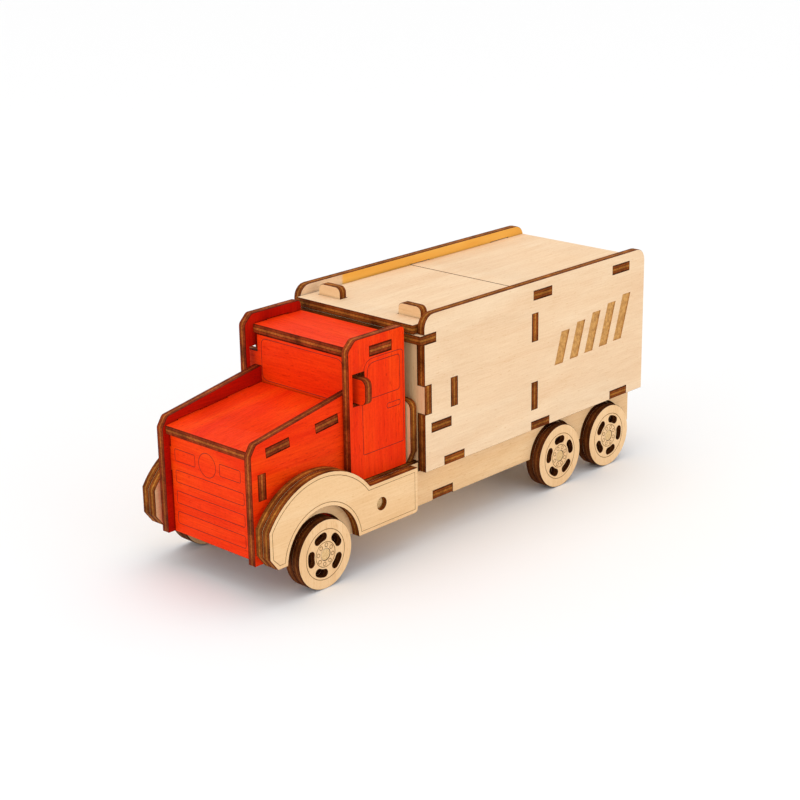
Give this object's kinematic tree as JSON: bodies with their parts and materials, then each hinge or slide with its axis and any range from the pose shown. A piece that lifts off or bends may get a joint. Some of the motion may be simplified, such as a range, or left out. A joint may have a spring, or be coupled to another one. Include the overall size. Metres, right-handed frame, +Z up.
{
  "type": "plywood model truck",
  "caption": "Laser-cut plywood model truck with a slotted box body, a lift-out roof lid, a stained cab and wheels that turn on dowel axles.",
  "frame": {"origin": "middle of the overall length and width, on the ground under the wheels", "axes": "+X to the truck's rear, +Y to its right-hand side, +Z up"},
  "size_m": [0.1878, 0.0608, 0.0787],
  "materials": {
    "birch_ply": "raw birch plywood with laser-burnt edges",
    "red_stained_ply": "plywood stained orange-red, satin",
    "dowel": "sanded dowel"
  },
  "bodies": {
    "truck_body": {"box_side_left": "birch_ply", "box_side_right": "birch_ply", "box_floor": "birch_ply", "chamber_shelf": "birch_ply", "rear_roof": "birch_ply", "front_tie_bar": "birch_ply", "box_front_wall": "birch_ply", "chamber_wall": "birch_ply", "middle_wall": "birch_ply", "box_rear_wall": "birch_ply", "chassis_side_left": "birch_ply", "chassis_side_right": "birch_ply", "chassis_floor": "birch_ply", "bearing_plate_left": "birch_ply", "bearing_plate_right": "birch_ply", "fender_left": "birch_ply", "fender_right": "birch_ply", "cab_floor": "birch_ply", "bulkhead": "birch_ply", "cab_side_left": "red_stained_ply", "cab_side_right": "red_stained_ply", "cab_roof": "red_stained_ply", "windshield": "red_stained_ply", "hood_side_left": "red_stained_ply", "hood_side_right": "red_stained_ply", "hood_top": "red_stained_ply", "grille": "red_stained_ply", "tie_dowel": "dowel"},
    "lid": {"roof_lid": "birch_ply", "lid_key_plate": "birch_ply"},
    "front_axle_set": {"front_axle": "dowel", "front_wheel_left_outer": "birch_ply", "front_wheel_left_inner": "birch_ply", "front_wheel_right_outer": "birch_ply", "front_wheel_right_inner": "birch_ply"},
    "middle_axle_set": {"middle_axle": "dowel", "middle_wheel_left_outer": "birch_ply", "middle_wheel_left_inner": "birch_ply", "middle_wheel_right_outer": "birch_ply", "middle_wheel_right_inner": "birch_ply"},
    "rear_axle_set": {"rear_axle": "dowel", "rear_wheel_left_outer": "birch_ply", "rear_wheel_left_inner": "birch_ply", "rear_wheel_right_outer": "birch_ply", "rear_wheel_right_inner": "birch_ply"}
  },
  "joints": [
    {"name": "lid_lift", "type": "slide", "parent": "truck_body", "child": "lid", "axis": [0, 0, 1], "range_m": [0, 0.026]},
    {"name": "front_axle_spin", "type": "hinge", "parent": "truck_body", "child": "front_axle_set", "pos_m": [-0.0712, 0, 0.0115], "axis": [0, 1, 0], "continuous": true},
    {"name": "middle_axle_spin", "type": "hinge", "parent": "truck_body", "child": "middle_axle_set", "pos_m": [0.0454, 0, 0.0115], "axis": [0, 1, 0], "continuous": true},
    {"name": "rear_axle_spin", "type": "hinge", "parent": "truck_body", "child": "rear_axle_set", "pos_m": [0.0739, 0, 0.0115], "axis": [0, 1, 0], "continuous": true}
  ]
}
